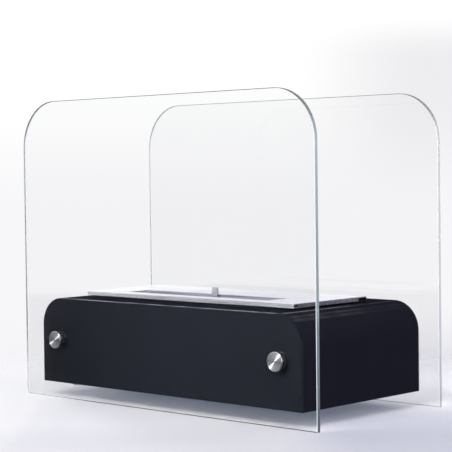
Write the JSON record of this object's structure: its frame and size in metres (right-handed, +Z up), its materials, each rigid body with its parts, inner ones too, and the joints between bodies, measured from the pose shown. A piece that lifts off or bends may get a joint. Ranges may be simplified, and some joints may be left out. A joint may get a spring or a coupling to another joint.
{
  "type": "tabletop bioethanol fireplace",
  "caption": "Tabletop bioethanol fireplace: black steel box with rounded shoulders held by round standoffs between clear glass panes, with a slotted steel burner on top.",
  "frame": {"origin": "on the floor, under the middle of the space between the two glass panes", "axes": "+X to the right along the panes, +Y to the rear, +Z up"},
  "size_m": [0.35, 0.172, 0.27],
  "materials": {
    "clear_glass": "clear tempered, ground edges",
    "black_powder_coat": "smooth semi-gloss powder coat",
    "brushed_steel": "brushed",
    "zinc_plated_steel": "bright zinc plated",
    "clear_plastic": "translucent",
    "black_rubber": "matt",
    "ceramic_fibre": "felted white fibre",
    "graphite_fibre": "matt graphite-filled fibre"
  },
  "bodies": {
    "hearth": {"front_glass": "clear_glass", "rear_glass": "clear_glass", "standoff_caps": "brushed_steel", "cap_washers": "clear_plastic", "hole_sleeves": "clear_plastic", "spacer_washers": "black_rubber", "spring_washers": "zinc_plated_steel", "clamp_nuts": "zinc_plated_steel", "body_shell": "black_powder_coat", "front_panel": "black_powder_coat", "rear_panel": "black_powder_coat", "base_plate": "black_powder_coat", "base_tabs": "black_powder_coat", "base_inserts": "zinc_plated_steel", "base_screws": "zinc_plated_steel", "flange_gasket": "graphite_fibre"},
    "burner": {"burner_plate": "brushed_steel", "fuel_tank": "brushed_steel", "ceramic_wool": "ceramic_fibre", "wool_mesh": "brushed_steel", "slide_rails": "brushed_steel"},
    "damper": {"damper_slide": "brushed_steel", "damper_tab": "brushed_steel", "tab_rivets": "brushed_steel"}
  },
  "joints": [
    {"name": "burner_lift", "type": "slide", "parent": "hearth", "child": "burner", "axis": [0, 0, 1], "range_m": [0, 0.1]},
    {"name": "damper_close", "type": "slide", "parent": "burner", "child": "damper", "axis": [0, -1, 0], "range_m": [0, 0.025]}
  ]
}
